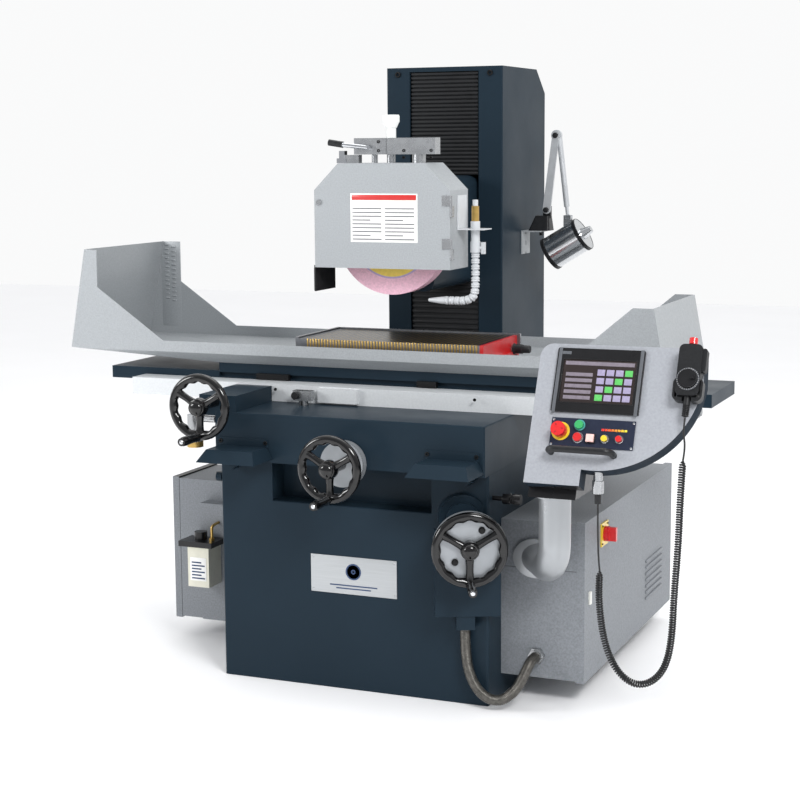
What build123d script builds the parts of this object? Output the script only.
"""Saddle-type surface grinder: base, cross saddle, reciprocating table, column and wheel head.

Millimetres, +Z up, operator at -Y, +X to the operator's right. The origin is on the floor,
below the centre of the magnetic chuck at rest.
"""
from math import cos, radians, sin
import os

from build123d import *

os.makedirs("parts", exist_ok=True)

# ---------------------------------------------------------------- clearances
slide_gap = 0.3      # between faces that slide on each other or seat with a gap
run_gap = 0.05       # radial clearance of a shaft in its bore
hole_gap = 0.4       # radial clearance of a push button's stem

# ---------------------------------------------------------------- base
base_half_x = 420
base_front_y = -438
base_rear_y = 735
base_way_end = 300
base_top_z = 660
base_wall = 22
base_roof = 118
base_rib = 10
recess_half_x = 250
recess_depth = 75
recess_z = 543
vee_x = 365
vee_half = 31
vee_depth = 30

# ---------------------------------------------------------------- column
column_half_x = 196
column_front_y = 306
column_top_z = 1811
column_wall = 14
column_slant_y = 642
column_slant_z = 1732
channel_half_x = 117
bellows_half_x = channel_half_x - 2
bellows_depth = 22
bellows_pitch = 11

# ---------------------------------------------------------------- wheel head
spindle_z = 1304
head_half_x = 108
head_bottom_z = 1132
head_top_z = 1472
head_front_y = -53
head_rear_y = 520
head_edge = 34
guard_half_x = 216
guard_front_y = -200
guard_rear_y = -54
guard_bottom_z = 1209
guard_top_z = 1516
guard_corner_x = 138
guard_corner_z = 1438
guard_wall = 4
guard_mouth_half = 160
door_thickness = 3.5
flap_drop = 72
flap_thickness = 5
wheel_radius = 177.5
wheel_width = 50
wheel_mid_y = -100
wheel_bore = 63.5
flange_radius = 62
spindle_radius = 28
bearing_radius = 52
bearing_width = 34
motor_radius = 88
motor_length = 210

# ---------------------------------------------------------------- dresser on the guard
dresser_y = -128
dresser_z = 1541
dresser_height = 48
dresser_left_x = -107
dresser_split_x = -4
dresser_right_x = 150
dresser_depth = 46
dresser_tube_radius = 15
dresser_knob_z = 1618
dresser_knob_radius = 24
dresser_lever_x = -58

# ---------------------------------------------------------------- coolant valve and nozzle
coolant_x = guard_half_x + 45
coolant_y = -112
coolant_plate_z = 1322
coolant_pipe_radius = 11
nozzle_z = 1113

# ---------------------------------------------------------------- saddle, way cover and table
saddle_front_y = -470
saddle_rear_y = 235
saddle_top_z = 803
rail_top_z = 837.7
wing_half_x = 830
wing_half_y = 130
screw_z = 676
screw_radius = 16
nut_y = -150
nut_half_x = 30
cover_half_x = 840
cover_front_y = -235
cover_inner_y = -153
cover_top_z = 855
cover_sheet = 3
drive_x = -415
drive_z = 828
table_left_x = -966
table_right_x = 974
table_half_y = 150
table_bottom_z = rail_top_z + slide_gap
table_step_z = 876
table_top_z = 902
table_raised_half_x = 577
dog_slot_z = 858
dog_slot_height = 14
dog_slot_depth = 12
cylinder_radius = 32
cylinder_bore = 28
cylinder_half = 400
rod_radius = 12
rod_half = 912
ram_z = 803

# ---------------------------------------------------------------- chuck and splash trough
chuck_half_x = 300
chuck_half_y = 150
chuck_top_z = 987
chuck_end = 12
chuck_rail = 10
trough_sheet = 3
trough_front_y = -193
trough_rear_y = 295
trough_lip_z = 968
trough_skirt_z = 934

# ---------------------------------------------------------------- handwheels
wheel_rim = 11
small_wheel_radius = 96
large_wheel_radius = 105
hub_radius = 21
grip_length = 96

# ---------------------------------------------------------------- elevating gearbox on the base corner
gearbox_turn = 25
gearbox_origin = (373.5, -479, 0)
gearbox_left = -90
gearbox_right = 93
gearbox_bottom_z = 266
gearbox_top_z = 505
elevating_z = 475
boss_z = 541
boss_radius = 66

# ---------------------------------------------------------------- cabinets
cabinet_sheet = 3
cabinet_x = 643
cabinet_front_y = -333
cabinet_rear_y = 653
cabinet_bottom_z = 67
cabinet_top_z = 520
cabinet_door_x = 667
cabinet_hinge_radius = 5
cabinet_hinge_zs = (140, 460)
tank_x = -742
tank_front_y = -130
tank_rear_y = 124
tank_bottom_z = 67
tank_top_z = 520
tank_door_x = -766
lube_front_y = -180

# ---------------------------------------------------------------- console
pipe_x = 623
pipe_y = -470
pipe_radius = 44
pipe_leg_z = 415
pipe_flange_x = 521
pipe_top_z = 634
pipe_bend = 84
ring_top_z = 659.7
console_x = 611
console_y = -550
console_z = 1050
console_tilt = 24
console_depth = 50
console_sheet = 3
console_height = 377
notch_x = 149
notch_height = 44
hmi_thickness = 8
button_plate = 3

# ---------------------------------------------------------------- lamp
lamp_y = 528
lamp_shelf_z = 1286
lamp_pivot = (274, 1357)
lamp_elbow = (303, 1596)
lamp_pin_x = 252
lamp_pin_radius = 6
lamp_wrist = (343, 1331)
lamp_head_x = 283
lamp_head_z = 1213
lamp_head_tilt = 31.3
lamp_head_radius = 54
lamp_head_length = 132

# ---------------------------------------------------------------- cords
cord_radius = 2.5
curl_radius = 10
conduit_radius = 15


def box(x0, x1, y0, y1, z0, z1, mode=Mode.ADD):
    """A box between two corners, in the part that is open."""
    with Locations(((x0 + x1) / 2, (y0 + y1) / 2, (z0 + z1) / 2)):
        Box(abs(x1 - x0), abs(y1 - y0), abs(z1 - z0), mode=mode)


def panel(x0, x1, y0, y1, z0, z1):
    """One flat sheet, as a part of its own."""
    with BuildPart() as sheet:
        box(x0, x1, y0, y1, z0, z1)
    return sheet.part


def rod(start, end, radius, mode=Mode.ADD):
    """A round bar between two points, in the part that is open."""
    run = Vector(*end) - Vector(*start)
    with BuildSketch(Plane(origin=start, z_dir=run)) as disc:
        Circle(radius)
    extrude(disc.sketch, amount=run.length, mode=mode)


def cord_radii(points):
    """The largest bend that the two runs beside each inner point allow."""
    radii = []
    for before, here, after in zip(points, points[1:], points[2:]):
        run_in, run_out = Vector(*here) - Vector(*before), Vector(*after) - Vector(*here)
        turn = radians(run_in.get_angle(run_out))
        radii.append(0.45 * min(run_in.length, run_out.length) / (sin(turn / 2) / cos(turn / 2)))
    return radii


def cord_tube(points, radius, title):
    """A tube of straight runs and tangent arcs along a cord's route."""
    radii = cord_radii(points)
    with BuildPart() as tube:
        with BuildLine() as route:
            FilletPolyline(*points, radius=radii)
        with BuildSketch(Plane(origin=route.line @ 0, z_dir=route.line % 0)):
            Circle(radius)
        sweep(path=route.line)
    length = sum(edge.length for edge in route.edges())
    print(title, "length", round(length, 1), "radii", [round(r) for r in radii],
          "volume ratio", round(tube.part.volume / (3.14159265 * radius**2 * length), 4))
    return tube


# ================================================================ base casting
with BuildPart() as base_casting:
    box(-base_half_x, base_half_x, base_front_y, base_rear_y, 0, base_top_z)
    fillet(base_casting.edges().filter_by(Axis.Z), 8)
    roof_z = base_top_z - base_roof - base_wall
    box(-base_half_x + base_wall, base_half_x - base_wall, base_front_y + base_wall,
        base_rear_y - base_wall, -1, roof_z, mode=Mode.SUBTRACT)
    box(-recess_half_x, recess_half_x, base_front_y - 1, base_front_y + recess_depth,
        recess_z, base_top_z + 1, mode=Mode.SUBTRACT)
    box(-base_rib, base_rib, base_front_y + base_wall - 1, base_rear_y - base_wall + 1, 0, roof_z + 1)
    with BuildSketch(Plane.XZ.offset(-base_front_y + 1)):
        for side in (-1, 1):
            with BuildLine():
                Polyline((side * vee_x - vee_half, base_top_z), (side * vee_x, base_top_z - vee_depth),
                         (side * vee_x + vee_half, base_top_z), close=True)
            make_face()
    extrude(amount=-(base_way_end - base_front_y + 2), mode=Mode.SUBTRACT)
    fillet(base_casting.edges().filter_by(GeomType.LINE).filter_by(Axis.X).filter_by(
        lambda edge: abs(edge.center().Z - recess_z) < 1 and edge.center().Y < base_front_y + 1), 4)
with BuildPart() as crossfeed_nut:
    box(-nut_half_x, nut_half_x, nut_y - 25, nut_y + 25, base_top_z, screw_z + screw_radius + 12)
    with Locations(Plane(origin=(0, nut_y, screw_z), z_dir=(0, 1, 0))):
        Hole(screw_radius + run_gap)
with BuildPart() as base_knob:
    rod((-base_half_x, base_front_y + 13, 600), (-base_half_x - 18, base_front_y + 13, 600), 13)
base_group = Compound(label="base_casting",
                      children=[base_casting.part, crossfeed_nut.part, base_knob.part])
export_step(base_group, "parts/base_casting.step")

# ================================================================ column with its front channel
with BuildPart() as column_casting:
    with BuildSketch(Plane.YZ.offset(-column_half_x)):
        with BuildLine():
            Polyline((column_front_y, base_top_z), (column_front_y, column_top_z),
                     (column_slant_y, column_top_z), (base_rear_y, column_slant_z),
                     (base_rear_y, base_top_z), close=True)
        make_face()
    extrude(amount=2 * column_half_x)
    fillet(column_casting.edges().filter_by(Axis.Z), 5)
    box(-column_half_x + column_wall, column_half_x - column_wall, column_front_y + 40,
        column_slant_y - 30, base_top_z - 1, column_top_z - column_wall, mode=Mode.SUBTRACT)
    box(-channel_half_x, channel_half_x, column_front_y - 1, column_front_y + 41,
        base_top_z - 1, column_top_z - column_wall, mode=Mode.SUBTRACT)
with BuildPart() as lamp_shelf:
    box(column_half_x, column_half_x + 4, lamp_y - 38, lamp_y + 40, lamp_shelf_z - 72, lamp_shelf_z + 4)
    box(column_half_x, column_half_x + 66, lamp_y - 38, lamp_y + 40, lamp_shelf_z, lamp_shelf_z + 4)
    rod((lamp_pin_x, lamp_y, lamp_shelf_z - 1), (lamp_pin_x, lamp_y, lamp_shelf_z + 5),
        lamp_pin_radius + run_gap, mode=Mode.SUBTRACT)
    for hole_z in (lamp_shelf_z - 22, lamp_shelf_z - 52):
        with Locations(Plane(origin=(column_half_x, lamp_y, hole_z), z_dir=(1, 0, 0))):
            with GridLocations(36, 1, 2, 1):
                Cylinder(5, 20, mode=Mode.SUBTRACT)
column_group = Compound(label="column_casting", children=[column_casting.part, lamp_shelf.part])
export_step(column_group, "parts/column_casting.step")

# ================================================================ pleated cover above the head
with BuildPart() as column_bellows:
    bellows_bottom = head_top_z + slide_gap
    bellows_top = column_top_z - column_wall - slide_gap
    pleats = round((bellows_top - bellows_bottom) / bellows_pitch)
    pitch = (bellows_top - bellows_bottom) / pleats
    crest, valley = column_front_y + 4, column_front_y + 10
    with BuildSketch(Plane.YZ.offset(-bellows_half_x)):
        with BuildLine():
            front = [(crest if step % 2 else valley, bellows_bottom + step * pitch / 2)
                     for step in range(2 * pleats + 1)]
            Polyline(*front, (column_front_y + bellows_depth, bellows_top),
                     (column_front_y + bellows_depth, bellows_bottom), close=True)
        make_face()
    extrude(amount=2 * bellows_half_x)
column_bellows.part.label = "column_bellows"
export_step(column_bellows.part, "parts/column_bellows.step")

# ================================================================ elevating screw inside the column
screw_y = head_rear_y + 34
with BuildPart() as elevating_screw:
    rod((0, screw_y, base_top_z + slide_gap), (0, screw_y, column_top_z - column_wall - slide_gap), 18)
    rod((0, screw_y, base_top_z + slide_gap), (0, screw_y, base_top_z + 40), 40)
elevating_screw.part.label = "elevating_screw"
export_step(elevating_screw.part, "parts/elevating_screw.step")

# ================================================================ wheel head casting
with BuildPart() as head_casting:
    box(-head_half_x, head_half_x, head_front_y, head_rear_y, head_bottom_z, head_top_z)
    fillet(head_casting.edges().filter_by(Axis.Y), head_edge)
    box(-60, 60, head_rear_y, screw_y + 45, spindle_z - 70, spindle_z + 70)
    rod((0, head_front_y - 1, spindle_z), (0, head_front_y + 2 * bearing_width, spindle_z),
        bearing_radius, mode=Mode.SUBTRACT)
    rod((0, head_front_y, spindle_z), (0, head_rear_y - 40, spindle_z), spindle_radius + 6,
        mode=Mode.SUBTRACT)
    rod((0, head_front_y + 150, spindle_z), (0, head_front_y + 170 + motor_length, spindle_z),
        motor_radius + slide_gap, mode=Mode.SUBTRACT)
    rod((0, screw_y, spindle_z - 80), (0, screw_y, spindle_z + 80), 18 + run_gap, mode=Mode.SUBTRACT)
with BuildPart() as head_apron:
    box(-bellows_half_x, bellows_half_x, column_front_y + 8, column_front_y + 11,
        base_top_z + 150, head_bottom_z)
head_group = Compound(label="head_casting", children=[head_casting.part, head_apron.part])
export_step(head_group, "parts/head_casting.step")

# ================================================================ spindle, bearings, motor stator, wheel
motor_front = head_front_y + 150
with BuildPart() as spindle_bearings:
    for front in (head_front_y + 2, head_front_y + 2 + bearing_width):
        with BuildSketch(Plane.XZ.offset(-front)):
            with Locations((0, spindle_z)):
                Circle(bearing_radius)
                Circle(spindle_radius + run_gap, mode=Mode.SUBTRACT)
        extrude(amount=-(bearing_width - 4))
    with BuildSketch(Plane.XZ.offset(-(motor_front + 5))):
        with Locations((0, spindle_z)):
            Circle(motor_radius)
            Circle(motor_radius - 26, mode=Mode.SUBTRACT)
    extrude(amount=-motor_length)
spindle_bearings.part.label = "spindle_bearings"
export_step(spindle_bearings.part, "parts/spindle_bearings.step")

wheel_front = wheel_mid_y - wheel_width / 2
wheel_back = wheel_mid_y + wheel_width / 2
with BuildPart() as spindle:
    rod((0, wheel_front - 26, spindle_z), (0, wheel_front, spindle_z), 16)
    rod((0, wheel_front, spindle_z), (0, head_rear_y - 60, spindle_z), spindle_radius)
    rod((0, motor_front + 10, spindle_z), (0, motor_front + motor_length, spindle_z), motor_radius - 28)
spindle.part.label = "spindle"
export_step(spindle.part, "parts/spindle.step")

with BuildPart() as wheel_flange:
    with BuildSketch(Plane.XZ.offset(-(wheel_front - 14))):
        with Locations((0, spindle_z)):
            Circle(flange_radius + 14)
            Circle(16 + run_gap, mode=Mode.SUBTRACT)
    extrude(amount=-14)
    with BuildSketch(Plane.XZ.offset(-(wheel_front - 24))):
        with Locations((0, spindle_z)):
            RegularPolygon(24, 6)
            Circle(16 + run_gap, mode=Mode.SUBTRACT)
    extrude(amount=-10)
with BuildPart() as rear_flange:
    with BuildSketch(Plane.XZ.offset(-wheel_front)):
        with Locations((0, spindle_z)):
            Circle(flange_radius)
            Circle(spindle_radius + run_gap, mode=Mode.SUBTRACT)
    extrude(amount=-(wheel_width + 12))
    with BuildSketch(Plane.XZ.offset(-wheel_back)):
        with Locations((0, spindle_z)):
            Circle(flange_radius + 14)
            Circle(spindle_radius + run_gap, mode=Mode.SUBTRACT)
    extrude(amount=-12)
flange_group = Compound(label="wheel_flange", children=[wheel_flange.part, rear_flange.part])
export_step(flange_group, "parts/wheel_flange.step")

with BuildPart() as grinding_wheel:
    with BuildSketch(Plane.XZ.offset(-wheel_front)):
        with Locations((0, spindle_z)):
            Circle(wheel_radius)
            Circle(wheel_bore, mode=Mode.SUBTRACT)
    extrude(amount=-wheel_width)
grinding_wheel.part.label = "grinding_wheel"
export_step(grinding_wheel.part, "parts/grinding_wheel.step")


# ================================================================ wheel guard, its door, hinges and flap
def guard_corners(inset):
    """The guard's outline with both upper corners cut off, from lower left round to lower right."""
    side, top = guard_half_x - inset, guard_top_z - inset
    cut_x, cut_z = guard_corner_x - 0.4 * inset, guard_corner_z - 0.4 * inset
    return [(-side, guard_bottom_z), (-side, cut_z), (-cut_x, top), (cut_x, top), (side, cut_z),
            (side, guard_bottom_z)]


def guard_outline(inset):
    """The guard's outline as a face on the sketch that is open."""
    with BuildLine() as outline:
        Polyline(*guard_corners(inset), close=True)
    make_face(outline.edges())


door_back_y = guard_front_y + door_thickness
hinge_x = guard_half_x + 4
hinge_zs = (1268, 1392)
hinge_length = 62
guard_panels = [panel(side * (guard_half_x - guard_wall), side * guard_mouth_half, door_back_y + slide_gap,
                      guard_rear_y - guard_wall, guard_bottom_z, guard_bottom_z + guard_wall)
                for side in (-1, 1)]
outer_corners, inner_corners = guard_corners(0), guard_corners(guard_wall)
for corner in range(5):
    with BuildPart() as guard_panel:
        with BuildSketch(Plane.XZ.offset(-(door_back_y + slide_gap))):
            with BuildLine():
                Polyline(outer_corners[corner], outer_corners[corner + 1], inner_corners[corner + 1],
                         inner_corners[corner], close=True)
            make_face()
        extrude(amount=-(guard_rear_y - door_back_y - slide_gap))
    guard_panels.append(guard_panel.part)
with BuildPart() as guard_back:
    with BuildSketch(Plane.XZ.offset(-(guard_rear_y - guard_wall))):
        guard_outline(guard_wall)
        with Locations((0, spindle_z)):
            Circle(flange_radius + 20, mode=Mode.SUBTRACT)
    extrude(amount=-guard_wall)
    with BuildSketch(Plane.XZ.offset(-guard_rear_y)):
        with Locations((0, spindle_z)):
            Circle(flange_radius + 40)
            Circle(flange_radius + 20, mode=Mode.SUBTRACT)
    extrude(amount=-(head_front_y - guard_rear_y))
with BuildPart() as guard_hinges:
    for hinge_z in hinge_zs:
        rod((hinge_x, guard_front_y, hinge_z - hinge_length / 2),
            (hinge_x, guard_front_y, hinge_z), 4)
        box(guard_half_x, guard_half_x + 2.5, guard_front_y + 3, guard_front_y + 26,
            hinge_z - hinge_length / 2, hinge_z)
with BuildPart() as splash_flap:
    box(-guard_half_x - flap_thickness, -guard_half_x, guard_front_y + 4, guard_rear_y - 4,
        guard_bottom_z - flap_drop, guard_bottom_z + 6)
guard_group = Compound(label="guard_housing",
                       children=[*guard_panels, guard_back.part, *guard_hinges.part.solids(),
                                 splash_flap.part])
export_step(guard_group, "parts/guard_housing.step")

with BuildPart() as guard_door:
    with BuildSketch(Plane.XZ.offset(-guard_front_y)):
        guard_outline(0)
    extrude(amount=-door_thickness)
    rod((-guard_half_x + 16, guard_front_y - 4, 1402), (-guard_half_x + 16, guard_front_y, 1402), 8)
with BuildPart() as door_knuckles:
    for hinge_z in hinge_zs:
        rod((hinge_x, guard_front_y, hinge_z + slide_gap),
            (hinge_x, guard_front_y, hinge_z + hinge_length / 2), 4)
        box(guard_half_x - 24, hinge_x, guard_front_y - 2, guard_front_y,
            hinge_z + slide_gap, hinge_z + hinge_length / 2)
door_group = Compound(label="guard_door", children=[guard_door.part, *door_knuckles.part.solids()])
export_step(door_group, "parts/guard_door.step")

# ================================================================ dresser on top of the guard
dresser_front = dresser_y - dresser_depth / 2
dresser_back = dresser_y + dresser_depth / 2
with BuildPart() as dresser_bar:
    box(dresser_split_x, dresser_right_x, dresser_front + 2, dresser_back - 2,
        dresser_z, dresser_z + dresser_height)
    rod((3, dresser_y, dresser_z + dresser_height), (3, dresser_y, dresser_knob_z - slide_gap),
        dresser_tube_radius)
    rod((3, dresser_y, guard_top_z), (3, dresser_y, dresser_z), 13)
    rod((92, dresser_y, guard_top_z), (92, dresser_y, dresser_z), 20)
with BuildPart() as dresser_clamp:
    box(-168, -138, dresser_y - 14, dresser_y + 14, guard_top_z, guard_top_z + 14)
    box(-162, -144, dresser_y - 10, dresser_y + 10, guard_top_z + 14, guard_top_z + 36)
    box(-138, dresser_left_x + 10, dresser_y - 12, dresser_y + 12, guard_top_z, guard_top_z + 24)
with BuildPart() as dresser_block:
    box(dresser_left_x, dresser_split_x - 0.2, dresser_front, dresser_back,
        dresser_z, dresser_z + dresser_height)
    with Locations(Plane(origin=(dresser_lever_x, dresser_front, dresser_z + 20), z_dir=(0, -1, 0))):
        Cylinder(8 + run_gap, 2 * 20, mode=Mode.SUBTRACT)
    rod((-50, dresser_y, guard_top_z), (-50, dresser_y, dresser_z), 9)
dresser_group = Compound(label="dresser_frame",
                         children=[dresser_block.part, dresser_bar.part, dresser_clamp.part])
export_step(dresser_group, "parts/dresser_frame.step")

with BuildPart() as dresser_lever:
    pivot_z = dresser_z + 20
    rod((dresser_lever_x, dresser_front + 18, pivot_z), (dresser_lever_x, dresser_front - 14, pivot_z), 8)
    rod((dresser_lever_x, dresser_front - 9, pivot_z), (-138, dresser_front - 9, pivot_z + 9), 7)
    rod((-138, dresser_front - 9, pivot_z + 9), (-184, dresser_front - 9, pivot_z + 16), 9.5)
dresser_lever.part.label = "dresser_lever"
export_step(dresser_lever.part, "parts/dresser_lever.step")

with BuildPart() as dresser_knob:
    with BuildSketch(Plane.XZ.offset(-dresser_y)):
        with BuildLine():
            Polyline((3, dresser_knob_z), (3 + dresser_tube_radius + 2, dresser_knob_z),
                     (3 + dresser_knob_radius, dresser_knob_z + 16),
                     (3 + dresser_knob_radius, dresser_knob_z + 38), (3, dresser_knob_z + 38), close=True)
        make_face()
    revolve(axis=Axis((3, dresser_y, 0), (0, 0, 1)))
dresser_knob.part.label = "dresser_knob"
export_step(dresser_knob.part, "parts/dresser_knob.step")

# ================================================================ coolant valve, tap and jointed nozzle
with BuildPart() as coolant_valve:
    box(guard_half_x, guard_half_x + 3, coolant_y - 30, coolant_y + 40, coolant_plate_z,
        coolant_plate_z + 100)
    box(guard_half_x, coolant_x + 36, coolant_y - 30, coolant_y + 40, coolant_plate_z, coolant_plate_z + 3)
with BuildPart() as coolant_body:
    top_z = coolant_plate_z + 3
    rod((coolant_x, coolant_y, top_z), (coolant_x, coolant_y, top_z + 22), 14)
    rod((coolant_x, coolant_y, top_z + 22), (coolant_x, coolant_y, top_z + 66), 11)
    rod((coolant_x, coolant_y, top_z + 66), (coolant_x, coolant_y, top_z + 84), 8)
with BuildPart() as coolant_outlet:
    rod((coolant_x, coolant_y, coolant_plate_z), (coolant_x, coolant_y, coolant_plate_z - 34), 13)
    rod((coolant_x, coolant_y, coolant_plate_z - 34), (coolant_x, coolant_y, coolant_plate_z - 66), 15)
    rod((coolant_x - 4, coolant_y, coolant_plate_z - 52), (coolant_x + 22, coolant_y, coolant_plate_z - 52),
        6 + run_gap, mode=Mode.SUBTRACT)
coolant_group = Compound(label="coolant_valve",
                         children=[coolant_valve.part, coolant_body.part, coolant_outlet.part])
export_step(coolant_group, "parts/coolant_valve.step")

with BuildPart() as coolant_tap:
    rod((coolant_x, coolant_y, coolant_plate_z - 52), (coolant_x + 22, coolant_y, coolant_plate_z - 52), 6)
    box(coolant_x + 20, coolant_x + 30, coolant_y - 7, coolant_y + 7,
        coolant_plate_z - 70, coolant_plate_z - 36)
coolant_tap.part.label = "coolant_tap"
export_step(coolant_tap.part, "parts/coolant_tap.step")

nozzle_end = 168
with BuildPart() as coolant_nozzle:
    with BuildLine() as nozzle_route:
        FilletPolyline((coolant_x, coolant_y, coolant_plate_z - 66), (coolant_x, coolant_y, nozzle_z + 24),
                       (nozzle_end + 40, coolant_y, nozzle_z), (nozzle_end, coolant_y, nozzle_z),
                       radius=(44, 60))
    with BuildSketch(Plane(origin=nozzle_route.line @ 0, z_dir=nozzle_route.line % 0)):
        Circle(coolant_pipe_radius)
    sweep(path=nozzle_route.line)
    with BuildSketch(Plane(origin=(nozzle_end, coolant_y, nozzle_z), z_dir=(-1, 0, 0))):
        Circle(coolant_pipe_radius)
    with BuildSketch(Plane(origin=(nozzle_end - 54, coolant_y, nozzle_z), z_dir=(-1, 0, 0))):
        Circle(5)
    loft()
coolant_nozzle.part.label = "coolant_nozzle"
export_step(coolant_nozzle.part, "parts/coolant_nozzle.step")

# ================================================================ saddle with table ways
saddle_bottom = base_top_z + slide_gap
with BuildPart() as saddle:
    box(-base_half_x, base_half_x, saddle_front_y, saddle_rear_y, saddle_bottom, saddle_top_z)
    fillet(saddle.edges().filter_by(Axis.Z).group_by(Axis.Y)[0], 6)
    fillet(saddle.edges().group_by(Axis.Z)[-1].filter_by(Axis.X).group_by(Axis.Y)[0], 4)
    box(-base_half_x + 10, base_half_x - 10, -wing_half_y - 10, wing_half_y + 10, saddle_top_z, rail_top_z)
    box(-wing_half_x, wing_half_x, -wing_half_y, wing_half_y, rail_top_z - 30, rail_top_z)
    box(drive_x - 55, drive_x + 65, saddle_front_y + 2, cover_front_y - 2, saddle_top_z - 14,
        saddle_top_z + 47)
    box(-wing_half_x - 1, wing_half_x + 1, -42, 42, ram_z - 34, rail_top_z + 1, mode=Mode.SUBTRACT)
    box(-nut_half_x - 6, nut_half_x + 6, saddle_front_y + 30, saddle_rear_y + 1,
        saddle_bottom - 1, screw_z + 36, mode=Mode.SUBTRACT)
    rod((0, saddle_front_y - 1, screw_z), (0, saddle_front_y + 40, screw_z), screw_radius + run_gap,
        mode=Mode.SUBTRACT)
    rod((drive_x, saddle_front_y - 1, drive_z), (drive_x, saddle_front_y + 80, drive_z),
        rod_radius + run_gap, mode=Mode.SUBTRACT)
    with BuildSketch(Plane.XZ.offset(-saddle_front_y)):
        for side in (-1, 1):
            with BuildLine():
                Polyline((side * vee_x - vee_half + 1, saddle_bottom),
                         (side * vee_x, saddle_bottom - vee_depth + 1),
                         (side * vee_x + vee_half - 1, saddle_bottom), close=True)
            make_face()
    extrude(amount=-(saddle_rear_y - saddle_front_y))
with BuildPart() as ram_cylinder:
    with BuildSketch(Plane.YZ.offset(-cylinder_half)):
        with Locations((0, ram_z)):
            Circle(cylinder_radius)
            Circle(cylinder_bore + run_gap, mode=Mode.SUBTRACT)
    extrude(amount=2 * cylinder_half)
    for start in (-cylinder_half, cylinder_half - 20):
        with BuildSketch(Plane.YZ.offset(start)):
            with Locations((0, ram_z)):
                Circle(cylinder_radius)
                Circle(rod_radius + run_gap, mode=Mode.SUBTRACT)
        extrude(amount=20)
    for foot_x in (-cylinder_half + 10, cylinder_half - 40):
        box(foot_x, foot_x + 30, -24, 24, ram_z - 34, ram_z - cylinder_bore - 2)
saddle_group = Compound(label="saddle", children=[saddle.part, ram_cylinder.part])
export_step(saddle_group, "parts/saddle.step")

# ================================================================ sheet covers beside the table ways
with BuildPart() as way_cover:
    for side in (-1, 1):
        outer, inner = side * -cover_front_y, side * -cover_inner_y
        box(-cover_half_x, cover_half_x, min(outer, inner), max(outer, inner),
            saddle_top_z + slide_gap, cover_top_z)
    box(-190, -62, cover_front_y - 16, cover_front_y, saddle_top_z + 6, cover_top_z - 3)
    for side in (-1, 1):
        outer, inner = side * -cover_front_y, side * -cover_inner_y
        box(-cover_half_x + cover_sheet, cover_half_x - cover_sheet,
            min(outer, inner) + cover_sheet, max(outer, inner) - cover_sheet,
            saddle_top_z - 1, cover_top_z - cover_sheet, mode=Mode.SUBTRACT)
way_cover.part.label = "way_cover"
export_step(way_cover.part, "parts/way_cover.step")

# ================================================================ sheet hoods over the way ends
tray_x = 325
tray_z = 705
tray_drop = 34
with BuildPart() as tool_trays:
    for side in (-1, 1):
        for inset, mode in ((0, Mode.ADD), (3, Mode.SUBTRACT)):
            with BuildSketch(Plane.XY.offset(tray_z - inset)):
                with Locations((side * tray_x, (saddle_front_y - 560) / 2)):
                    Rectangle(150 - 2 * inset, 560 + saddle_front_y - 2 * inset)
            with BuildSketch(Plane.XY.offset(tray_z - tray_drop - inset)):
                with Locations((side * tray_x, (saddle_front_y - 590) / 2)):
                    Rectangle(186 - 2 * inset, 590 + saddle_front_y - 2 * inset)
            loft(mode=mode)
        box(side * tray_x - 80, side * tray_x + 80, saddle_front_y - 3, saddle_front_y - slide_gap,
            tray_z - 2, tray_z + 24)
tool_trays.part.label = "tool_trays"
export_step(tool_trays.part, "parts/tool_trays.step")

# ================================================================ hydraulic valve beside the table handwheel
with BuildPart() as table_valve:
    rod((-490, -462, 709), (-490, -462, 788), 22)
    rod((-490, -462, 777), (-base_half_x - slide_gap, -462, 777), 10)
with BuildPart() as valve_cap:
    rod((-490, -462, 692), (-490, -462, 708.8), 24)
valve_group = Compound(label="table_valve", children=[table_valve.part, valve_cap.part])
export_step(valve_group, "parts/table_valve.step")

# ================================================================ reversing lever on the saddle
lever_x, lever_y = -225, -274
with BuildPart() as reversing_lever:
    rod((lever_x, lever_y, saddle_top_z + slide_gap), (lever_x, lever_y, saddle_top_z + 14), 14)
    box(lever_x - 30, lever_x + 30, lever_y - 13, lever_y + 13, saddle_top_z + 14, saddle_top_z + 44)
    rod((lever_x - 18, lever_y - 26, saddle_top_z + 30), (lever_x - 18, lever_y, saddle_top_z + 30), 11)
reversing_lever.part.label = "reversing_lever"
export_step(reversing_lever.part, "parts/reversing_lever.step")

# ================================================================ table and the ram's rod
with BuildPart() as table:
    box(table_left_x, table_right_x, -table_half_y, table_half_y, table_bottom_z, table_step_z)
    box(-table_raised_half_x, table_raised_half_x, -table_half_y, table_half_y, table_step_z, table_top_z)
    box(-table_raised_half_x, table_raised_half_x, -table_half_y - 1, -table_half_y + dog_slot_depth,
        dog_slot_z, dog_slot_z + dog_slot_height, mode=Mode.SUBTRACT)
    for side in (-1, 1):
        box(side * (rod_half - 8), side * (rod_half - 38), -20, 20, ram_z - 18, table_bottom_z)
    rod((-rod_half, 0, ram_z), (rod_half, 0, ram_z), rod_radius + run_gap, mode=Mode.SUBTRACT)
with BuildPart() as ram_rod:
    rod((-rod_half, 0, ram_z), (rod_half, 0, ram_z), rod_radius)
    rod((-14, 0, ram_z), (14, 0, ram_z), cylinder_bore)
table_group = Compound(label="table", children=[table.part, ram_rod.part])
export_step(table_group, "parts/table.step")

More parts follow.
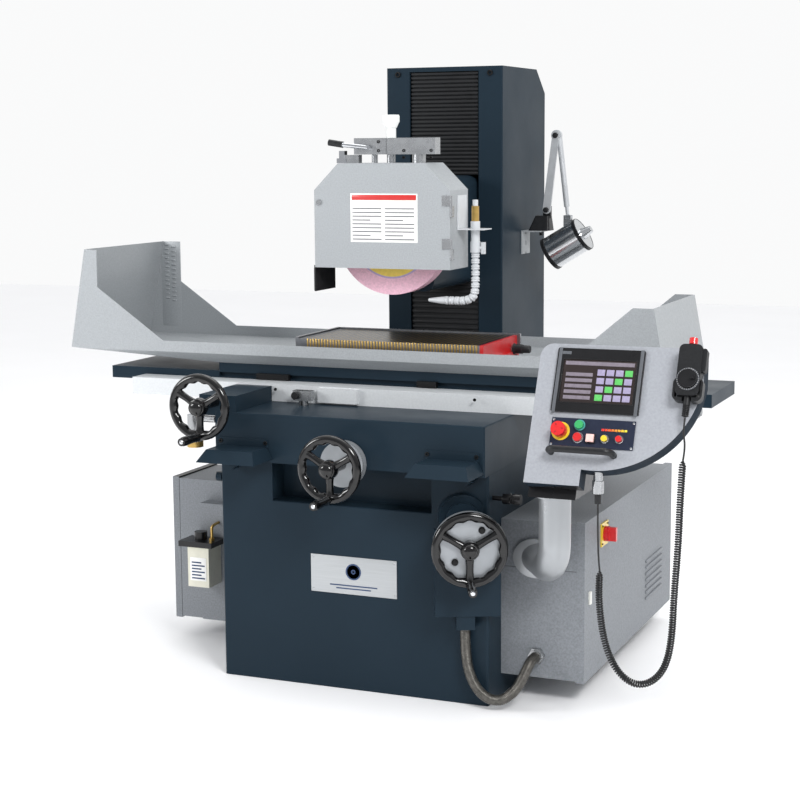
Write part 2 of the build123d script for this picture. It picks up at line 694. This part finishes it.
for name, dog_x0, dog_x1 in (("trip_dog_left", -440, -330), ("trip_dog_right", 94, 156)):
    with BuildPart() as trip_dog:
        box(dog_x0, dog_x1, -table_half_y - 14, -table_half_y - slide_gap, dog_slot_z - 1, table_step_z - 1)
        box(dog_x0 + 4, dog_x1 - 4, -table_half_y - 1, -table_half_y + dog_slot_depth - slide_gap,
            dog_slot_z + slide_gap, dog_slot_z + dog_slot_height - slide_gap)
    trip_dog.part.label = name
    export_step(trip_dog.part, "parts/" + name + ".step")

# ================================================================ magnetic chuck with end plates and rails
with BuildPart() as chuck_body:
    box(-chuck_half_x + chuck_end, chuck_half_x - chuck_end, -chuck_half_y, chuck_half_y,
        table_top_z, chuck_top_z)
with BuildPart() as chuck_ends:
    for side in (-1, 1):
        box(side * (chuck_half_x - chuck_end), side * chuck_half_x, -chuck_half_y, chuck_half_y,
            table_top_z + 40, chuck_top_z)
        box(side * (chuck_half_x - chuck_end), side * (chuck_half_x + 8), -chuck_half_y + 6,
            chuck_half_y - 6, table_top_z, table_top_z + 40)
with BuildPart() as chuck_rails:
    box(-chuck_half_x - chuck_rail, chuck_half_x + chuck_rail, chuck_half_y, chuck_half_y + chuck_rail,
        chuck_top_z - 40, chuck_top_z + 5)
    box(-chuck_half_x - chuck_rail, -chuck_half_x, -chuck_half_y, chuck_half_y,
        chuck_top_z - 36, chuck_top_z + 5)
chuck_group = Compound(label="magnetic_chuck",
                       children=[chuck_body.part, *chuck_ends.part.solids(), chuck_rails.part])
export_step(chuck_group, "parts/magnetic_chuck.step")

# ================================================================ splash trough round the table
trough_profile = [(-1089, 936), (-1030, 1249), (-985, 1246), (-986, 1129), (-752, trough_lip_z),
                  (582, trough_lip_z), (757, 1114), (817, 1114), (850, 936),
                  (table_raised_half_x, table_top_z), (-table_raised_half_x, table_top_z)]
trough_left_lean = (1089 - 1030) / (1249 - 936)
trough_right_lean = (850 - 817) / (1114 - 936)
trough_open_z = 1300
trough_inside = [(-1085, 939), (-1085 + trough_left_lean * (trough_open_z - 939), trough_open_z),
                 (846 - trough_right_lean * (trough_open_z - 939), trough_open_z), (846, 939),
                 (table_raised_half_x, table_top_z + trough_sheet),
                 (-table_raised_half_x, table_top_z + trough_sheet)]


def trough_section(inset):
    """The trough's section across the table, on the YZ plane."""
    front, rear, skirt = trough_front_y + inset, trough_rear_y - inset, trough_skirt_z + 0.4 * inset
    floor, top = table_top_z + inset, 1300 + inset
    with BuildLine() as outline:
        Polyline((front, skirt), (front, top), (rear, top), (rear, skirt),
                 (table_half_y, floor), (-table_half_y, floor), close=True)
    make_face(outline.edges())


with BuildPart() as trough_void:
    with BuildSketch(Plane.XZ.offset(-trough_front_y)):
        with BuildLine():
            Polyline(*trough_inside, close=True)
        make_face()
    extrude(amount=-(trough_rear_y - trough_front_y))
    with BuildSketch(Plane.YZ.offset(-1200)):
        trough_section(trough_sheet)
    extrude(amount=2400, mode=Mode.INTERSECT)
with BuildPart() as splash_trough:
    with BuildSketch(Plane.XZ.offset(-trough_front_y)):
        with BuildLine():
            Polyline(*trough_profile, close=True)
        make_face()
    extrude(amount=-(trough_rear_y - trough_front_y))
    with BuildSketch(Plane.YZ.offset(-1200)):
        trough_section(0)
    extrude(amount=2400, mode=Mode.INTERSECT)
    add(trough_void.part, mode=Mode.SUBTRACT)
    box(-chuck_half_x - 14, chuck_half_x + 14, -chuck_half_y - 0.5, chuck_half_y + chuck_rail + 3,
        table_top_z - 1, chuck_top_z, mode=Mode.SUBTRACT)
splash_trough.part.label = "splash_trough"
export_step(splash_trough.part, "parts/splash_trough.step")


# ================================================================ handwheels
def handwheel(label, centre, turn, radius, shaft_radius, shaft_back, dials):
    """A three-spoke handwheel: rim, spokes, hub and shaft in one, dials, and a revolving grip.

    The wheel faces away from its plane's back; dials are (radius, front, back) along the axis.
    """
    face = Plane(origin=centre, x_dir=(cos(radians(turn)), sin(radians(turn)), 0),
                 z_dir=(sin(radians(turn)), -cos(radians(turn)), 0))
    rim_radius = radius - wheel_rim
    with BuildPart() as wheel:
        with BuildSketch(Plane(origin=face.origin, x_dir=face.x_dir, z_dir=-face.y_dir)):
            with Locations((rim_radius, 0)):
                Circle(wheel_rim)
        revolve(axis=Axis(face.origin, face.z_dir))
        for angle in (30, 150, 270):
            tip = face.from_local_coords(Vector(rim_radius * cos(radians(angle)),
                                                rim_radius * sin(radians(angle)), 0))
            rod(tuple(face.origin), tuple(tip), 7.5)
        rod(tuple(face.from_local_coords(Vector(0, 0, -18))),
            tuple(face.from_local_coords(Vector(0, 0, 26))), hub_radius)
        rod(tuple(face.from_local_coords(Vector(0, 0, -shaft_back))),
            tuple(face.from_local_coords(Vector(0, 0, 0))), shaft_radius)
    pieces = [wheel.part]
    for dial_radius, dial_front, dial_back in dials:
        with BuildPart() as dial:
            rod(tuple(face.from_local_coords(Vector(0, 0, dial_front))),
                tuple(face.from_local_coords(Vector(0, 0, dial_back))), dial_radius)
            rod(tuple(face.from_local_coords(Vector(0, 0, dial_front + 1))),
                tuple(face.from_local_coords(Vector(0, 0, dial_back - 1))), shaft_radius, mode=Mode.SUBTRACT)
        pieces.append(dial.part)
    with BuildPart() as grip:
        start = wheel_rim + 0.2
        rod(tuple(face.from_local_coords(Vector(0, -rim_radius, start))),
            tuple(face.from_local_coords(Vector(0, -rim_radius, start + 14))), 7)
        rod(tuple(face.from_local_coords(Vector(0, -rim_radius, start + 14))),
            tuple(face.from_local_coords(Vector(0, -rim_radius, start + grip_length))), 11.5)
    pieces.append(grip.part)
    export_step(Compound(label=label, children=pieces), "parts/" + label + ".step")


table_wheel_y = -566
cross_wheel_y = -578
cross_back = saddle_front_y - cross_wheel_y
handwheel("table_handwheel", (drive_x, table_wheel_y, drive_z), 0, small_wheel_radius, rod_radius,
          saddle_front_y - table_wheel_y + 60, [])
handwheel("cross_handwheel", (0, cross_wheel_y, screw_z), 0, small_wheel_radius, screw_radius,
          cross_back + 640, [(66, 28 - cross_back, 1 - cross_back)])

# ================================================================ elevating gearbox and its handwheel
gear_face = Plane(origin=gearbox_origin, x_dir=(cos(radians(gearbox_turn)), sin(radians(gearbox_turn)), 0),
                  z_dir=(sin(radians(gearbox_turn)), -cos(radians(gearbox_turn)), 0))
with BuildPart() as elevating_gearbox:
    with BuildSketch(gear_face.offset(-60)):
        with BuildLine():
            Polyline((gearbox_left, gearbox_bottom_z), (gearbox_left, gearbox_top_z),
                     (gearbox_right - 20, gearbox_top_z), (gearbox_right - 20, gearbox_bottom_z), close=True)
        make_face()
    extrude(amount=54)
    with BuildSketch(gear_face.offset(-6)):
        with BuildLine():
            Polyline((gearbox_left, gearbox_bottom_z), (gearbox_left, gearbox_top_z),
                     (gearbox_right, gearbox_top_z), (gearbox_right, gearbox_bottom_z), close=True)
        make_face()
    extrude(amount=6)
    with BuildSketch(gear_face.offset(-120)):
        with Locations((-12, boss_z)):
            Circle(boss_radius)
    extrude(amount=96)
    with BuildSketch(gear_face.offset(-24)):
        with Locations((-12, boss_z)):
            Circle(boss_radius - 20)
    extrude(amount=20)
    with BuildSketch(gear_face.offset(-50)):
        with Locations((-5, gearbox_bottom_z - 20)):
            Rectangle(52, 40)
    extrude(amount=46)
    box(-base_half_x, base_half_x, base_front_y, 100, 0, base_top_z, mode=Mode.SUBTRACT)
    rod(tuple(gear_face.from_local_coords(Vector(0, elevating_z, 1))),
        tuple(gear_face.from_local_coords(Vector(0, elevating_z, -30))), rod_radius + run_gap,
        mode=Mode.SUBTRACT)
elevating_gearbox.part.label = "elevating_gearbox"
export_step(elevating_gearbox.part, "parts/elevating_gearbox.step")

wheel_out = 81
elevating_centre = tuple(gear_face.from_local_coords(Vector(0, elevating_z, wheel_out)))
handwheel("elevating_handwheel", elevating_centre, gearbox_turn, large_wheel_radius, rod_radius,
          wheel_out + 24, [(large_wheel_radius - 3, -14, -36)])

# ================================================================ electrical cabinet, door and switchgear
plate_x = base_half_x + slide_gap + cabinet_sheet
front_sheet_y, rear_sheet_y = cabinet_front_y + cabinet_sheet, cabinet_rear_y - cabinet_sheet
cabinet_panels = [
    panel(base_half_x + slide_gap, plate_x, cabinet_front_y, cabinet_rear_y, cabinet_bottom_z, cabinet_top_z),
    panel(plate_x, cabinet_x, cabinet_front_y, front_sheet_y, cabinet_bottom_z, cabinet_top_z),
    panel(plate_x, cabinet_x, rear_sheet_y, cabinet_rear_y, cabinet_bottom_z, cabinet_top_z),
    panel(plate_x, cabinet_x, front_sheet_y, rear_sheet_y, cabinet_bottom_z,
          cabinet_bottom_z + cabinet_sheet),
    panel(plate_x, cabinet_x, front_sheet_y, rear_sheet_y, cabinet_top_z - cabinet_sheet, cabinet_top_z)]
cabinet_hinge_x = cabinet_x + slide_gap / 2
cabinet_hinge_y = cabinet_rear_y + cabinet_hinge_radius + slide_gap
for hinge_z in cabinet_hinge_zs:
    with BuildPart() as cabinet_knuckle:
        rod((cabinet_hinge_x, cabinet_hinge_y, hinge_z - 30), (cabinet_hinge_x, cabinet_hinge_y, hinge_z),
            cabinet_hinge_radius)
        box(cabinet_hinge_x - 22, cabinet_hinge_x, cabinet_rear_y, cabinet_rear_y + 2.5,
            hinge_z - 30, hinge_z)
    cabinet_panels.append(cabinet_knuckle.part)
gland_x, gland_z = 530, 132
with BuildPart() as conduit_gland:
    with BuildSketch(Plane.XZ.offset(-cabinet_front_y)):
        with Locations((gland_x, gland_z)):
            RegularPolygon(24, 6)
    extrude(amount=16)
    rod((gland_x, cabinet_front_y - 16, gland_z), (gland_x, cabinet_front_y - 26, gland_z), 19)
cabinet_group = Compound(label="electrical_cabinet", children=[*cabinet_panels, conduit_gland.part])
export_step(cabinet_group, "parts/electrical_cabinet.step")

with BuildPart() as switchgear:
    box(plate_x, plate_x + 4, cabinet_front_y + 60, cabinet_rear_y - 60, cabinet_bottom_z + 40,
        cabinet_top_z - 40)
    for y0, y1, z0, z1, depth in ((-240, 60, 300, 440, 110), (100, 520, 300, 440, 80),
                                  (-240, 200, 140, 250, 90), (240, 520, 140, 250, 120)):
        box(plate_x + 4, plate_x + 4 + depth, y0, y1, z0, z1)
switchgear.part.label = "switchgear"
export_step(switchgear.part, "parts/switchgear.step")

isolator_y, isolator_z = -146, 457
latch_y, latch_z = -287, 301
with BuildPart() as cabinet_door:
    box(cabinet_x + slide_gap, cabinet_door_x, cabinet_front_y, cabinet_rear_y, cabinet_bottom_z - 5,
        cabinet_top_z + 5)
    box(cabinet_x, cabinet_door_x - cabinet_sheet, cabinet_front_y + cabinet_sheet,
        cabinet_rear_y - cabinet_sheet, cabinet_bottom_z, cabinet_top_z, mode=Mode.SUBTRACT)
    rod((cabinet_door_x - 10, latch_y, latch_z), (cabinet_door_x + 1, latch_y, latch_z), 8 + run_gap,
        mode=Mode.SUBTRACT)
with BuildPart() as door_knuckle_pair:
    for hinge_z in cabinet_hinge_zs:
        rod((cabinet_hinge_x, cabinet_hinge_y, hinge_z + slide_gap),
            (cabinet_hinge_x, cabinet_hinge_y, hinge_z + 30), cabinet_hinge_radius)
        box(cabinet_hinge_x + slide_gap / 2, cabinet_hinge_x + 22, cabinet_rear_y, cabinet_rear_y + 2.5,
            hinge_z + slide_gap, hinge_z + 30)
with BuildPart() as isolator_plate:
    box(cabinet_door_x, cabinet_door_x + 4, isolator_y - 34, isolator_y + 34, isolator_z - 34,
        isolator_z + 34)
door_pair = Compound(label="cabinet_door", children=[cabinet_door.part, *door_knuckle_pair.part.solids(),
                                                      isolator_plate.part])
export_step(door_pair, "parts/cabinet_door.step")

with BuildPart() as isolator_knob:
    start_x = cabinet_door_x + 4 + slide_gap
    rod((start_x, isolator_y, isolator_z), (start_x + 14, isolator_y, isolator_z), 22)
    box(start_x + 14, start_x + 34, isolator_y - 7, isolator_y + 7, isolator_z - 20, isolator_z + 20)
isolator_knob.part.label = "isolator_knob"
export_step(isolator_knob.part, "parts/isolator_knob.step")

with BuildPart() as door_latch:
    rod((cabinet_door_x - 18, latch_y, latch_z), (cabinet_door_x + 4, latch_y, latch_z), 8)
    box(cabinet_door_x + slide_gap, cabinet_door_x + 6, latch_y - 7, latch_y + 7, latch_z - 18, latch_z + 18)
door_latch.part.label = "door_latch"
export_step(door_latch.part, "parts/door_latch.step")

# ================================================================ conduit from the gearbox to the cabinet
conduit_start = gear_face.from_local_coords(Vector(-5, gearbox_bottom_z - 40, -27))
conduit_drop = conduit_start - Vector(0, 0, 76)
conduit_points = [tuple(conduit_start), tuple(conduit_drop), (377, -463, 80), (418, -468, 34),
                  (468, -466, 28), (508, -448, 62), (526, -418, 112),
                  (gland_x, cabinet_front_y - 58, gland_z), (gland_x, cabinet_front_y - 26, gland_z)]
conduit = cord_tube(conduit_points, conduit_radius, "conduit")
conduit.part.label = "conduit"
export_step(conduit.part, "parts/conduit.step")

# ================================================================ hydraulic cabinet and lubrication unit
with BuildPart() as hydraulic_cabinet:
    box(tank_x, -base_half_x - slide_gap, tank_front_y, tank_rear_y, tank_bottom_z, tank_top_z)
    box(tank_x + cabinet_sheet, -base_half_x - slide_gap - cabinet_sheet, tank_front_y + cabinet_sheet,
        tank_rear_y - cabinet_sheet, tank_bottom_z - 1, tank_top_z - cabinet_sheet, mode=Mode.SUBTRACT)
with BuildPart() as side_panel:
    box(tank_door_x, tank_x - 1.5, tank_front_y, tank_rear_y, tank_bottom_z - 5, tank_top_z + 4)
    box(tank_door_x + cabinet_sheet, tank_x, tank_front_y + cabinet_sheet, tank_rear_y - cabinet_sheet,
        tank_bottom_z, tank_top_z, mode=Mode.SUBTRACT)
    for y in (tank_front_y + 50, tank_rear_y - 50):
        rod((tank_door_x + 1, y, 300), (tank_x - slide_gap, y, 300), 8)
with BuildPart() as pump_box:
    box(-640, -440, lube_front_y, tank_front_y - slide_gap, 80, 456)
with BuildPart() as tank_knob:
    rod((-606, tank_front_y + 30, tank_top_z), (-606, tank_front_y + 30, tank_top_z + 24), 15)
with BuildPart() as hydraulic_unit:
    box(tank_x + cabinet_sheet, -base_half_x - slide_gap - cabinet_sheet, tank_front_y + 20,
        tank_rear_y - 20, tank_bottom_z, 290)
    rod((-520, 0, 290), (-520, 0, 470), 70)
    box(-700, -640, -40, 40, 290, 380)
hydraulic_group = Compound(label="hydraulic_cabinet",
                           children=[hydraulic_cabinet.part, side_panel.part, pump_box.part,
                                     tank_knob.part, hydraulic_unit.part])
export_step(hydraulic_group, "parts/hydraulic_cabinet.step")

with BuildPart() as lube_tank:
    box(-643, -569, lube_front_y - 80, lube_front_y - slide_gap, 206, 333)
with BuildPart() as lube_lid:
    box(-672, -556, lube_front_y - 86, lube_front_y - slide_gap, 333, 350)
with BuildPart() as lube_cap:
    rod((-617, lube_front_y - 40, 350), (-617, lube_front_y - 40, 375), 20)
lube_group = Compound(label="lube_unit", children=[lube_tank.part, lube_lid.part, lube_cap.part])
export_step(lube_group, "parts/lube_unit.step")

# ================================================================ console pipe and swivel ring
with BuildPart() as console_pipe:
    with BuildLine() as pipe_route:
        FilletPolyline((pipe_flange_x, cabinet_front_y + 12, pipe_leg_z), (pipe_x, pipe_y, pipe_leg_z),
                       (pipe_x, pipe_y, pipe_top_z), radius=pipe_bend)
    with BuildSketch(Plane(origin=pipe_route.line @ 0, z_dir=pipe_route.line % 0)):
        Circle(pipe_radius)
    sweep(path=pipe_route.line)
    with BuildSketch(Plane.XZ.offset(-cabinet_front_y + slide_gap)):
        with Locations((pipe_flange_x + 4, pipe_leg_z)):
            Ellipse(64, 56)
    extrude(amount=14)
    box(pipe_flange_x - 100, pipe_flange_x + 100, cabinet_front_y - slide_gap, cabinet_front_y + 100,
        pipe_leg_z - 100, pipe_leg_z + 100, mode=Mode.SUBTRACT)
    rod((pipe_x, pipe_y, pipe_top_z - 8), (pipe_x, pipe_y, pipe_top_z), 57)
with BuildPart() as swivel_ring:
    rod((pipe_x, pipe_y, pipe_top_z + 0.2), (pipe_x, pipe_y, ring_top_z), 53)
pipe_group = Compound(label="console_pipe", children=[console_pipe.part, swivel_ring.part])
export_step(pipe_group, "parts/console_pipe.step")

# ================================================================ control console
console_face = Plane(origin=(console_x, console_y, console_z), x_dir=(1, 0, 0),
                     z_dir=(0, -cos(radians(console_tilt)), sin(radians(console_tilt))))
console_corner = 34
buttons = {"start_button": (132, -218, 11), "stop_button": (131, -251, 11),
           "yellow_button": (202, -251, 8), "reset_button": (240, -250, 8)}
lamp_button = (165, -252, 9)
stop_head = (83, -236, 19)
stem_radius = 5


def console_outline(inset):
    """The console's face: straight at the left and top, one long curve at the right."""
    left, top, low = inset, -inset, -console_height + inset
    with BuildLine() as outline:
        Polyline((notch_x - inset, -console_height + notch_height + inset), (notch_x - inset, low),
                 (left, low),
                 (left, top - console_corner))
        RadiusArc((left, top - console_corner), (left + console_corner, top), console_corner)
        Polyline((left + console_corner, top), (432 - inset, top), (439 - inset, -90))
        ThreePointArc((439 - inset, -90), (368 - 0.7 * inset, -252 + 0.7 * inset),
                      (notch_x - inset, -console_height + notch_height + inset))
    make_face(outline.edges())


def button_holes():
    """The holes for the stems of all push buttons."""
    for x, y, _ in (*buttons.values(), lamp_button, stop_head):
        with Locations((x, y)):
            Circle(stem_radius + hole_gap, mode=Mode.SUBTRACT)


with BuildPart() as console_housing:
    with BuildSketch(console_face.offset(-console_depth)):
        console_outline(0)
    extrude(amount=console_depth)
    with BuildSketch(console_face.offset(-console_depth - 1)):
        console_outline(console_sheet)
    extrude(amount=console_depth + 1 - console_sheet, mode=Mode.SUBTRACT)
    with BuildSketch(console_face.offset(-console_sheet - 1)):
        for x, y, _ in (*buttons.values(), lamp_button, stop_head):
            with Locations((x, y)):
                Circle(stem_radius + hole_gap)
    extrude(amount=console_sheet + 2, mode=Mode.SUBTRACT)
with BuildPart() as console_back:
    with BuildSketch(console_face.offset(-console_depth - 2)):
        console_outline(0)
    extrude(amount=2)
    box(pipe_x - 60, pipe_x + 100, -900, -640, 600, 700, mode=Mode.SUBTRACT)
with BuildPart() as console_neck:
    with BuildSketch(Plane.YZ.offset(console_x)):
        with BuildLine():
            Polyline((-409, ring_top_z + slide_gap), (-409, 700), (-520, 760), (-640, 760),
                     (-690, ring_top_z + slide_gap), close=True)
        make_face()
    extrude(amount=notch_x - 20)
    with BuildSketch(console_face.offset(-console_depth - 2)):
        Rectangle(3000, 3000)
    extrude(amount=400, mode=Mode.SUBTRACT)
console_group = Compound(label="console_housing",
                         children=[console_housing.part, console_back.part, console_neck.part])
export_step(console_group, "parts/console_housing.step")

with BuildPart() as hmi_frame:
    with BuildSketch(console_face):
        with Locations((166, -99)):
            RectangleRounded(233, 172, 4)
    extrude(amount=hmi_thickness)
    with BuildSketch(console_face.offset(hmi_thickness)):
        with Locations((166, -101)):
            Rectangle(196, 116)
    extrude(amount=-1.5, mode=Mode.SUBTRACT)
with BuildPart() as button_panel:
    with BuildSketch(console_face):
        with Locations((167, -238)):
            Rectangle(222, 76)
        button_holes()
    extrude(amount=button_plate)
panel_group = Compound(label="console_panels", children=[hmi_frame.part, button_panel.part])
export_step(panel_group, "parts/console_panels.step")

for name, (x, y, cap_radius) in (*buttons.items(), ("lit_button", lamp_button), ("emergency_stop",
           stop_head)):
    travel = 3.5
    head = 26 if name == "emergency_stop" else 7
    with BuildPart() as button:
        with BuildSketch(console_face.offset(-20)):
            with Locations((x, y)):
                Circle(stem_radius)
        extrude(amount=20 + button_plate + travel + 1)
        with BuildSketch(console_face.offset(button_plate + travel)):
            with Locations((x, y)):
                if name == "lit_button":
                    Rectangle(20, 20)
                else:
                    Circle(cap_radius)
        extrude(amount=head)
    button.part.label = name
    export_step(button.part, "parts/" + name + ".step")

# ================================================================ console handle and pendant holder
handle_y = -292
with BuildPart() as console_handle:
    feet = [(64, handle_y, 0.2), (64, handle_y, 38), (230, handle_y, 38), (230, handle_y, 0.2)]
    path = [tuple(console_face.from_local_coords(Vector(*point))) for point in feet]
    with BuildLine() as handle_route:
        FilletPolyline(*path, radius=20)
    with BuildSketch(Plane(origin=handle_route.line @ 0, z_dir=handle_route.line % 0)):
        Circle(9)
    sweep(path=handle_route.line)
pendant_x = 407
with BuildPart() as pendant_holder:
    with BuildSketch(console_face):
        with Locations((pendant_x - 2, -88)):
            RectangleRounded(58, 100, 10)
    extrude(amount=7)
    with BuildSketch(console_face.offset(7)):
        with Locations((pendant_x, -116)):
            RectangleRounded(76, 62, 16)
        with Locations((pendant_x, -94)):
            Rectangle(64, 86, mode=Mode.SUBTRACT)
        with Locations((pendant_x, -140)):
            Rectangle(24, 30, mode=Mode.SUBTRACT)
    extrude(amount=26)
handle_group = Compound(label="console_handle",
                        children=[console_handle.part, *pendant_holder.part.solids()])
export_step(handle_group, "parts/console_handle.step")

# ================================================================ hand pendant
pendant_face = console_face.offset(7 + slide_gap)
pendant_top = console_face.from_local_coords(Vector(pendant_x, 0, 25))
with BuildPart() as pendant:
    with BuildSketch(pendant_face):
        with Locations((pendant_x, -67)):
            RectangleRounded(60, 134, 14)
    extrude(amount=34)
    with BuildSketch(pendant_face.offset(6)):
        with Locations((pendant_x + 34, -40)):
            RectangleRounded(14, 60, 6)
    extrude(amount=24)
    with BuildSketch(Plane(origin=console_face.from_local_coords(Vector(pendant_x, -133, 24)),
                           z_dir=-console_face.y_dir)):
        Circle(9)
    extrude(amount=24)
    with BuildSketch(Plane(origin=pendant_top, z_dir=console_face.y_dir)):
        Circle(stem_radius + hole_gap)
    extrude(amount=-16, mode=Mode.SUBTRACT)
with BuildPart() as strain_relief:
    relief_start = console_face.from_local_coords(Vector(pendant_x, -157.2, 24))
    with BuildSketch(Plane(origin=relief_start, z_dir=-console_face.y_dir)):
        Circle(6.5)
    with BuildSketch(Plane(origin=relief_start - console_face.y_dir * 30, z_dir=-console_face.y_dir)):
        Circle(4)
    loft()
pendant_group = Compound(label="pendant", children=[pendant.part, strain_relief.part])
export_step(pendant_group, "parts/pendant.step")

with BuildPart() as pendant_dial:
    with BuildSketch(pendant_face.offset(34 + slide_gap)):
        with Locations((pendant_x, -92)):
            Circle(24)
    extrude(amount=9)
    with BuildSketch(pendant_face.offset(34 + slide_gap + 9)):
        with Locations((pendant_x + 14, -92)):
            Circle(4)
    extrude(amount=10)
pendant_dial.part.label = "pendant_dial"
export_step(pendant_dial.part, "parts/pendant_dial.step")

with BuildPart() as pendant_stop:
    with BuildSketch(Plane(origin=pendant_top - console_face.y_dir * 10, z_dir=console_face.y_dir)):
        Circle(stem_radius)
    extrude(amount=14)
    with BuildSketch(Plane(origin=pendant_top + console_face.y_dir * 3.5, z_dir=console_face.y_dir)):
        Circle(11)
    extrude(amount=16)
pendant_stop.part.label = "pendant_stop"
export_step(pendant_stop.part, "parts/pendant_stop.step")

# ================================================================ curly cord of the pendant
plug_x, plug_y = 799, -662
with BuildPart() as cord_plug:
    rod((plug_x, plug_y, 765), (plug_x, plug_y, 715), 12)
    rod((plug_x, plug_y, 715), (plug_x, plug_y, 682), 15)
    rod((plug_x, plug_y, 682), (plug_x, plug_y, 655), 8.5)
    with BuildSketch(console_face.offset(-console_depth - 2)):
        console_outline(-slide_gap)
    extrude(amount=console_depth + 40, mode=Mode.SUBTRACT)
cord_plug.part.label = "cord_plug"
export_step(cord_plug.part, "parts/cord_plug.step")

lead_points = [(plug_x, plug_y, 655), (plug_x, plug_y, 610), (plug_x + 1, plug_y + 1, 560),
               (plug_x + 2, plug_y + 3, 510), (plug_x + 5, plug_y + 6, 476)]
curl_points = [lead_points[-1], (800, -652, 424), (804, -650, 364), (813, -650, 304), (830, -650, 250),
               (858, -650, 206), (895, -650, 183), (932, -650, 188), (965, -650, 216), (985, -650, 260),
               (995, -650, 330), (998, -650, 430), (1007, -650, 560), (1010, -650, 690), (1015, -650, 778)]
relief_end = relief_start - console_face.y_dir * 30
relief_lead = relief_end - console_face.y_dir * 24
top_points = [curl_points[-1], (1021, -651, 812), (1017, -658, 850), tuple(relief_lead), tuple(relief_end)]
for name, points, radius in (("cord_lead", lead_points, cord_radius), ("cord_curl", curl_points, curl_radius),
                             ("cord_top", top_points, cord_radius)):
    cord = cord_tube(points, radius, name)
    cord.part.label = name
    export_step(cord.part, "parts/" + name + ".step")

# ================================================================ machine lamp on the column
shelf_top = lamp_shelf_z + 4
pivot_x, pivot_z = lamp_pivot
elbow_x, elbow_z = lamp_elbow
wrist_x, wrist_z = lamp_wrist
with BuildPart() as lamp_base:
    with BuildSketch(Plane.XY.offset(shelf_top + slide_gap)):
        with Locations((pivot_x - 22, lamp_y)):
            RectangleRounded(72, 58, 8)
    with BuildSketch(Plane.XY.offset(shelf_top + 48)):
        with Locations((pivot_x - 14, lamp_y)):
            RectangleRounded(46, 40, 6)
    loft()
    box(pivot_x - 14, pivot_x + 12, lamp_y - 6, lamp_y + 6, shelf_top + 40, pivot_z + 12)
    rod((pivot_x, lamp_y - 7, pivot_z), (pivot_x, lamp_y + 7, pivot_z), 5 + run_gap, mode=Mode.SUBTRACT)
    rod((lamp_pin_x, lamp_y, lamp_shelf_z - 12), (lamp_pin_x, lamp_y, shelf_top + 2), lamp_pin_radius)
lamp_base.part.label = "lamp_base"
export_step(lamp_base.part, "parts/lamp_base.step")

arm_y = lamp_y - 6 - slide_gap
with BuildPart() as lamp_lower_arm:
    with BuildSketch(Plane.XZ.offset(-arm_y)):
        with BuildLine():
            Polyline((pivot_x - 13, pivot_z), (elbow_x - 11, elbow_z), (elbow_x + 11, elbow_z),
                     (pivot_x + 13, pivot_z), close=True)
        make_face()
        with Locations((pivot_x, pivot_z)):
            Circle(13)
        with Locations((elbow_x, elbow_z)):
            Circle(14)
    extrude(amount=8)
    for x, z in (lamp_pivot, lamp_elbow):
        rod((x, arm_y - 8, z), (x, lamp_y + 10, z), 5)
lamp_lower_arm.part.label = "lamp_lower_arm"
export_step(lamp_lower_arm.part, "parts/lamp_lower_arm.step")

with BuildPart() as lamp_upper_arm:
    rod((elbow_x, lamp_y - 6, elbow_z), (elbow_x, lamp_y + 8, elbow_z), 17)
    rod((elbow_x + 8, lamp_y + 3, elbow_z - 4), (wrist_x - 5, lamp_y + 3, wrist_z + 36), 9)
    rod((wrist_x - 5, lamp_y, wrist_z + 40), (wrist_x, lamp_y, wrist_z), 5.5)
    rod((wrist_x, lamp_y - 6, wrist_z), (wrist_x, lamp_y + 6, wrist_z), 12)
    rod((elbow_x, lamp_y - 7, elbow_z), (elbow_x, lamp_y + 11, elbow_z), 5 + run_gap, mode=Mode.SUBTRACT)
    rod((wrist_x, lamp_y - 12, wrist_z), (wrist_x, lamp_y + 12, wrist_z), 4 + run_gap, mode=Mode.SUBTRACT)
lamp_upper_arm.part.label = "lamp_upper_arm"
export_step(lamp_upper_arm.part, "parts/lamp_upper_arm.step")

lamp_face = Plane(origin=(lamp_head_x, lamp_y, lamp_head_z), x_dir=(0, 1, 0),
                  z_dir=(-cos(radians(lamp_head_tilt)), 0, -sin(radians(lamp_head_tilt))))
with BuildPart() as lamp_head:
    with BuildSketch(lamp_face):
        Circle(lamp_head_radius)
    extrude(amount=-lamp_head_length)
    with BuildSketch(lamp_face):
        Circle(lamp_head_radius - 4)
    extrude(amount=-(lamp_head_length - 5), mode=Mode.SUBTRACT)
    for side in (-1, 1):
        box(wrist_x - 12, wrist_x + 12, lamp_y + side * (6 + slide_gap), lamp_y + side * 11,
            wrist_z - 26, wrist_z + 9)
    rod((wrist_x, lamp_y - 11, wrist_z), (wrist_x, lamp_y + 11, wrist_z), 4)
with BuildPart() as lamp_stem:
    with BuildSketch(lamp_face.offset(-lamp_head_length)):
        Circle(20)
    with BuildSketch(lamp_face.offset(-lamp_head_length - 30)):
        Circle(11)
    loft()
with BuildPart() as lamp_bulb:
    with BuildSketch(lamp_face.offset(-14)):
        Circle(lamp_head_radius - 4)
    extrude(amount=3)
lamp_group = Compound(label="lamp_head", children=[lamp_head.part, lamp_stem.part, lamp_bulb.part])
export_step(lamp_group, "parts/lamp_head.step")
